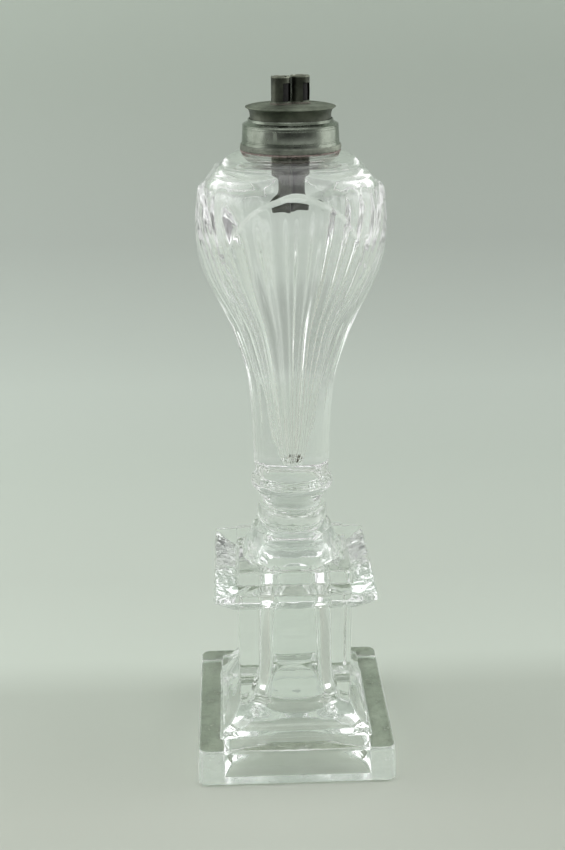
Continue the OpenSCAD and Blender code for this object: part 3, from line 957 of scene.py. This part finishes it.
def build_collar():
    """Screw collar: turned band with tool lines over a ragged spun flange, threaded inside."""
    thread = []
    for k in range(THREADS):
        z = SEAT_Z - 1 - (k + 0.5) * THREAD_PITCH
        thread += [(BORE, z + CREST_HALF), (BORE + THREAD_DEPTH, z + ROOT_HALF),
                   (BORE + THREAD_DEPTH, z - ROOT_HALF), (BORE, z - CREST_HALF)]
    band = [(18.85, BAND_FOOT_Z)]
    for z in TOOL_LINES:
        side = BAND_RADIUS - BAND_DRAFT * (z - BAND_FOOT_Z) / (BAND_TOP_Z - BAND_FOOT_Z)
        band += [(side, z - TOOL_LINE_HALF), (side - TOOL_LINE_DEPTH, z),
                 (side, z + TOOL_LINE_HALF)]
    profile = COLLAR_INSIDE + fine(FLANGE, 0.25, closed=False) + band + COLLAR_TOP + thread
    piece = lathe("turned_collar", profile, SMALL_STEPS)
    roughen(piece, depth=0.16, size=1.1, share=lambda p: (
        1.0 if p.z < RAGGED_TOP_Z and math.hypot(p.x, p.y) > RAGGED_RADIUS else 0.0))
    roughen(piece, depth=0.03, size=6.0, share=lambda p: (
        1.0 if p.z > BAND_FOOT_Z and math.hypot(p.x, p.y) > BAND_INNER_RADIUS else 0.0))
    dress(piece, TURNED_PEWTER, RAGGED_PEWTER)
    for face in piece.data.polygons:
        x, y, z = face.center / MM
        if z < BAND_FOOT_Z and math.hypot(x, y) > FLANGE_RADIUS:
            face.material_index = 1
    hand_over(piece, "collar", "root", 30)


def build_plaster_edge():
    """Plaster squeezed out between the flange and the glass, and broken away in places."""
    piece = lathe("plaster_edge", fine(PLASTER_RING, 0.3), SMALL_STEPS)
    roughen(piece, depth=0.28, size=0.9)
    dress(piece, PLASTER)
    hand_over(piece, None, "root", 60)


def tube_hole(place):
    """A tool for the hole that a tube stands in."""
    deselect()
    low, high = PLATE_Z - TOOL_REACH, PLATE_TOP_Z + TOOL_REACH
    bpy.ops.mesh.primitive_cylinder_add(
        vertices=96, radius=(TUBE_R + HOLE_GAP) * MM, depth=(high - low) * MM,
        location=(place.x * MM, place.y * MM, (low + high) / 2 * MM))
    return bpy.context.object


def build_plate():
    """Thin plate over the plug, beaten down to an uneven edge."""
    # The outline stops short of the axis on top, so the plate has a small hole under the solder
    piece = lathe("beaten_plate", fine(PLATE, 0.6, closed=False)[:-1], PLATE_STEPS)
    roughen(piece, depth=0.07, size=2.2, share=lambda p: (
        clamp((math.hypot(p.x, p.y) - BEATEN_FROM) / BEATEN_FADE) if p.z > PLATE_Z + 0.01 else 0.0))
    for place in TUBE_PLACES:
        cut(piece, tube_hole(place))
    dress(piece, ROUGH_PEWTER)
    hand_over(piece, "burner_plate", "burner", 35)


def slot_tool(place):
    """A plain box for the pick slot in the tube at this place."""
    deselect()
    bpy.ops.mesh.primitive_cube_add(size=1, location=(0, 0, 0))
    tool = bpy.context.object
    edit(tool)
    size = (2 * SLOT_HALF * MM, 2 * TUBE_R * MM, (SLOT_HIGH - SLOT_LOW) * MM)
    bpy.ops.transform.resize(value=size)
    leave_edit()
    middle = place + SLOT_WAY * TUBE_R + Vector((0, 0, (SLOT_LOW + SLOT_HIGH) / 2))
    for point in tool.data.vertices:
        point.co = SLOT_TURN @ point.co + middle * MM
    return tool


def fray(spot, out, beside, place, raggedness):
    """Moves a point on the slot's edge off the straight line, as if cut by hand."""
    if not (out.dot(SLOT_WAY) > 0 and SLOT_LOW - NEAR < spot.z < SLOT_HIGH + NEAR
            and abs(beside) < SLOT_HALF + NEAR):
        return
    if abs(beside) > SLOT_HALF - NEAR:
        along = Vector((spot.z / NICK_LENGTH, beside, place.x))
        nick = raggedness * clamp(0.45 + field.noise(along))
        out.rotate(Matrix.Rotation(math.copysign(nick / out.length, beside), 3, "Z"))
    elif spot.z > SLOT_HIGH - NEAR:
        along = Vector((beside / NICK_LENGTH, place.y, 5))
        spot.z -= raggedness * clamp(0.4 + field.noise(along))
    elif spot.z < SLOT_LOW + NEAR:
        along = Vector((beside / NICK_LENGTH, place.y, 9))
        spot.z += raggedness * clamp(0.4 + field.noise(along))


def dent(spot, out, beside, raggedness):
    """Dents the tube's outside, bends the slot's lip out and burns the rim away."""
    dip = DENT_DEPTH * field.noise(spot / DENT_LENGTH)
    dip *= clamp((spot.z - DENTED_FROM_Z) / DENTED_FADE)
    lip = 0.5 * raggedness * clamp(1 - abs(spot.z - LIP_Z) / LIP_REACH)
    lip *= clamp(1 - abs(beside - SLOT_HALF) / LIP_WIDTH)
    if out.dot(SLOT_WAY) < 0:
        lip = 0
    if out.length > TUBE_R - TUBE_WALL / 2:
        out *= (out.length + dip + lip) / out.length
    else:
        out *= (out.length + lip) / out.length
    if spot.z > TUBE_TOP_Z - RIM_HEIGHT:
        burnt = BURN_DEPTH * clamp(0.2 + field.noise(spot / BURN_LENGTH))
        spot.z -= burnt * (spot.z - TUBE_TOP_Z + RIM_HEIGHT) / RIM_HEIGHT


def build_tube(name, place, raggedness):
    """Wick tube of rolled metal, dented, with a burnt rim and a roughly cut pick slot."""
    piece = lathe("dented_" + name, fine(TUBE_OUTLINE, 0.5), TUBE_STEPS)
    edit(piece)
    bpy.ops.transform.translate(value=place * MM)
    leave_edit()
    cut(piece, slot_tool(place))
    across = SLOT_WAY.cross(Vector((0, 0, 1)))
    for point in piece.data.vertices:
        spot = point.co / MM
        out = Vector((spot.x, spot.y, 0)) - place
        beside = out.dot(across)
        fray(spot, out, beside, place, raggedness)
        if spot.z > DENTED_FROM_Z:
            dent(spot, out, beside, raggedness)
            point.co = Vector((place.x + out.x, place.y + out.y, spot.z)) * MM
    dress(piece, TUBE_METAL, WORN_RIM)
    for face in piece.data.polygons:
        wander = WORN_SPREAD * field.noise(face.center / MM / WORN_LENGTH)
        edge = TUBE_TOP_Z - WORN_DEPTH - wander
        if face.center.z > edge * MM:
            face.material_index = 1
    hand_over(piece, name, "burner", 45)


def build_solder():
    """Uneven run of solder about the feet of the tubes."""
    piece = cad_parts["tube_solder"].copy()
    piece.data = piece.data.copy()
    piece.name = "solder_run"
    bpy.context.scene.collection.objects.link(piece)
    piece.parent = None
    tidy_faces(piece)
    apply_modifier(piece, "REMESH", mode="VOXEL", voxel_size=SOLDER_VOXEL)
    roughen(piece, depth=0.14, size=0.9, share=lambda p: clamp((p.z - PLATE_TOP_Z) / 0.2))
    dress(piece, SOLDER)
    hand_over(piece, "tube_solder", "burner", 60)


build_collar()
build_plaster_edge()
build_plate()
build_tube("wick_tube_left", TUBE_PLACES[0], raggedness=0.2)
build_tube("wick_tube_right", TUBE_PLACES[1], raggedness=0.6)
build_solder()


# Stage

# Painted light and shade on the paper at distances along it, from the lamp's axis backwards and
# then upwards: a painted shadow under and about the foot, and painted light and shade up the wall
PAINTED_PAPER_LIGHT = [(-0.25, (0.508, 0.550, 0.483)), (-0.06, (0.555, 0.586, 0.521)),
               (0.03, (0.522, 0.563, 0.500)), (0.06, (0.623, 0.677, 0.606)),
               (0.15, (0.591, 0.640, 0.575)), (0.45, (0.601, 0.658, 0.599)),
               (0.65, (0.493, 0.536, 0.492)), (0.8, (0.508, 0.556, 0.504)),
               (1, (0.567, 0.633, 0.563))]
PAINTED_LIGHT_FROM, PAINTED_LIGHT_LENGTH = -0.5, 2
# The paper's floor, a hair below the foot, then its bend and its wall
PAPER_WIDTH = 4
PAPER_DEPTH = 3.33
PAPER_MIDDLE_Y = -1.335
PAPER_Z = -0.0002
BEND_Y = 0.33
BEND_RADIUS = 0.25
BEND_STEPS = 24
WALL_HEIGHT = 1.3
# Painted light: the paper is painted a little lighter on the left of the lamp than on its right
SIDES = (-0.3, 0.3)
PAINTED_SIDE_LIGHT = (1.08, 0.95)


def backdrop_material():
    """Pale paper with painted light and shade that change slowly from its front edge to the top of
    the wall, and a little across it.
    """
    material, tree, shader = new_material("paper_backdrop")
    shader.inputs["Roughness"].default_value = 0.9
    shader.inputs["Specular IOR Level"].default_value = 0
    axes = tree.nodes.new("ShaderNodeSeparateXYZ")
    link(tree, tree.nodes.new("ShaderNodeTexCoord").outputs["Object"], axes.inputs["Vector"])
    # The paper's colour carries painted shadow about the foot and painted light and shade up the
    # wall
    way = reckon(tree, "ADD", axes.outputs["Y"], axes.outputs["Z"])
    place = spread(tree, way, (PAINTED_LIGHT_FROM, PAINTED_LIGHT_FROM + PAINTED_LIGHT_LENGTH), (0, 1))
    along = ramp(tree, place, [((distance - PAINTED_LIGHT_FROM) / PAINTED_LIGHT_LENGTH, tone)
                               for distance, tone in PAINTED_PAPER_LIGHT])
    # Painted light: the left side of the paper is painted lighter than the right
    across = spread(tree, axes.outputs["X"], SIDES, PAINTED_SIDE_LIGHT)
    tone = tree.nodes.new("ShaderNodeVectorMath")
    tone.operation = "MULTIPLY"
    link(tree, along, tone.inputs[0])
    link(tree, across, tone.inputs[1])
    link(tree, tone.outputs[0], shader.inputs["Base Color"])
    # The wall's back is clear, so that the lamp can be looked at from behind it
    clear = tree.nodes.new("ShaderNodeBsdfTransparent")
    one_sided = tree.nodes.new("ShaderNodeMixShader")
    back = tree.nodes.new("ShaderNodeNewGeometry").outputs["Backfacing"]
    link(tree, back, one_sided.inputs["Fac"])
    link(tree, shader.outputs[0], one_sided.inputs[1])
    link(tree, clear.outputs[0], one_sided.inputs[2])
    link(tree, one_sided.outputs[0], tree.nodes["Material Output"].inputs["Surface"])
    return material


def add_stage():
    """A sheet of paper that lies under the lamp and bends up behind it."""
    deselect()
    bpy.ops.mesh.primitive_plane_add(size=1, location=(0, 0, 0))
    sheet = bpy.context.object
    sheet.name = "backdrop"
    edit(sheet, "EDGE")
    bpy.ops.transform.resize(value=(PAPER_WIDTH, PAPER_DEPTH, 1))
    bpy.ops.transform.translate(value=(0, PAPER_MIDDLE_Y, PAPER_Z))
    bpy.ops.mesh.select_all(action="DESELECT")
    leave_edit()
    for rim in sheet.data.edges:
        a, b = (sheet.data.vertices[i].co for i in rim.vertices)
        rim.select = a.y > 0 and b.y > 0
    bpy.ops.object.mode_set(mode="EDIT")
    bpy.ops.mesh.spin(steps=BEND_STEPS, angle=-QUARTER_TURN, axis=(1, 0, 0),
                      center=(0, BEND_Y, BEND_RADIUS))
    bpy.ops.mesh.extrude_region_move(TRANSFORM_OT_translate={"value": (0, 0, WALL_HEIGHT)})
    leave_edit()
    tidy_faces(sheet)
    # The open sheet has no outside, so the floor's faces are made to look up
    if min(face.normal.z for face in sheet.data.polygons) < -0.5:
        edit(sheet, "FACE")
        bpy.ops.mesh.flip_normals()
        leave_edit()
    smooth(sheet, 60)
    dress(sheet, backdrop_material())


add_stage()


def add_lamp(name, place, aim, width, height, watts):
    """A soft lamp of a size in metres, turned towards a point."""
    lamp = bpy.data.lights.new(name, "AREA")
    lamp.shape = "RECTANGLE"
    lamp.size = width
    lamp.size_y = height
    lamp.energy = watts
    holder = bpy.data.objects.new(name, lamp)
    bpy.context.scene.collection.objects.link(holder)
    holder.location = place
    holder.rotation_euler = (Vector(aim) - Vector(place)).to_track_quat("-Z", "Y").to_euler()


for side, name in ((-1, "left_soft_lamp"), (1, "right_soft_lamp")):
    add_lamp(name, (side * 0.87, 0.23, 0.42), (0, 0, 0.15), width=1.1, height=1.2, watts=5.0)
add_lamp("top_soft_lamp", (0, -0.2, 1.3), (0, 0.1, 0), width=0.8, height=0.8, watts=2.5)


def light_room():
    """A room dim above and in front, and light at the sides, behind and along the horizon."""
    world = bpy.data.worlds.new("studio")
    bpy.context.scene.world = world
    world.use_nodes = True
    tree = world.node_tree
    sky = tree.nodes["Background"]
    sky.inputs["Color"].default_value = (1, 1, 1, 1)
    heading = tree.nodes.new("ShaderNodeSeparateXYZ")
    towards = tree.nodes.new("ShaderNodeTexCoord").outputs["Generated"]
    link(tree, towards, heading.inputs["Vector"])
    in_front = spread(tree, heading.outputs["Y"], (-0.9, 0.1), (0.8, 0))
    overhead = spread(tree, heading.outputs["Z"], (0.08, 0.3), (0, 1))
    dimness = reckon(tree, "MULTIPLY", in_front, overhead)
    link(tree, reckon(tree, "SUBTRACT", 0.88, dimness), sky.inputs["Strength"])


light_room()

# Camera at the photograph's place, fitted to the lamp's straight edges and round rims
PITCH = math.radians(20.48)
ROLL = math.radians(-0.372)
PAN = math.radians(2.298)
CAMERA_PLACE = Vector((-22.97, -478.18, 326.27)) * MM
LENS = 51.96


def add_camera():
    """The camera, which looks down by the pitch, to the right by the pan, and leans by the roll."""
    flat = math.cos(PITCH)
    forward = Vector((math.sin(PAN) * flat, math.cos(PAN) * flat, -math.sin(PITCH)))
    level = Vector((math.cos(PAN), -math.sin(PAN), 0))
    upright = level.cross(forward)
    right = level * math.cos(ROLL) + upright * math.sin(ROLL)
    above = upright * math.cos(ROLL) - level * math.sin(ROLL)
    camera = bpy.data.objects.new("camera", bpy.data.cameras.new("camera"))
    bpy.context.scene.collection.objects.link(camera)
    pose = Matrix((right, above, -forward)).transposed().to_4x4()
    pose.translation = CAMERA_PLACE
    camera.matrix_world = pose
    camera.data.sensor_width = 36
    camera.data.lens = LENS
    camera.data.clip_start = 0.01
    bpy.context.scene.camera = camera


add_camera()

bpy.context.scene.view_settings.view_transform = "Standard"
# Thick glass sends light round inside itself many times before it comes out again
GLASS_BOUNCES = 32
cycles = bpy.context.scene.cycles
cycles.max_bounces = GLASS_BOUNCES
cycles.glossy_bounces = GLASS_BOUNCES
cycles.transmission_bounces = GLASS_BOUNCES
cycles.transparent_max_bounces = 24
cycles.diffuse_bounces = 8
# The paper under the foot is lit through the glass, which the glossy filter would darken
cycles.blur_glossy = 0
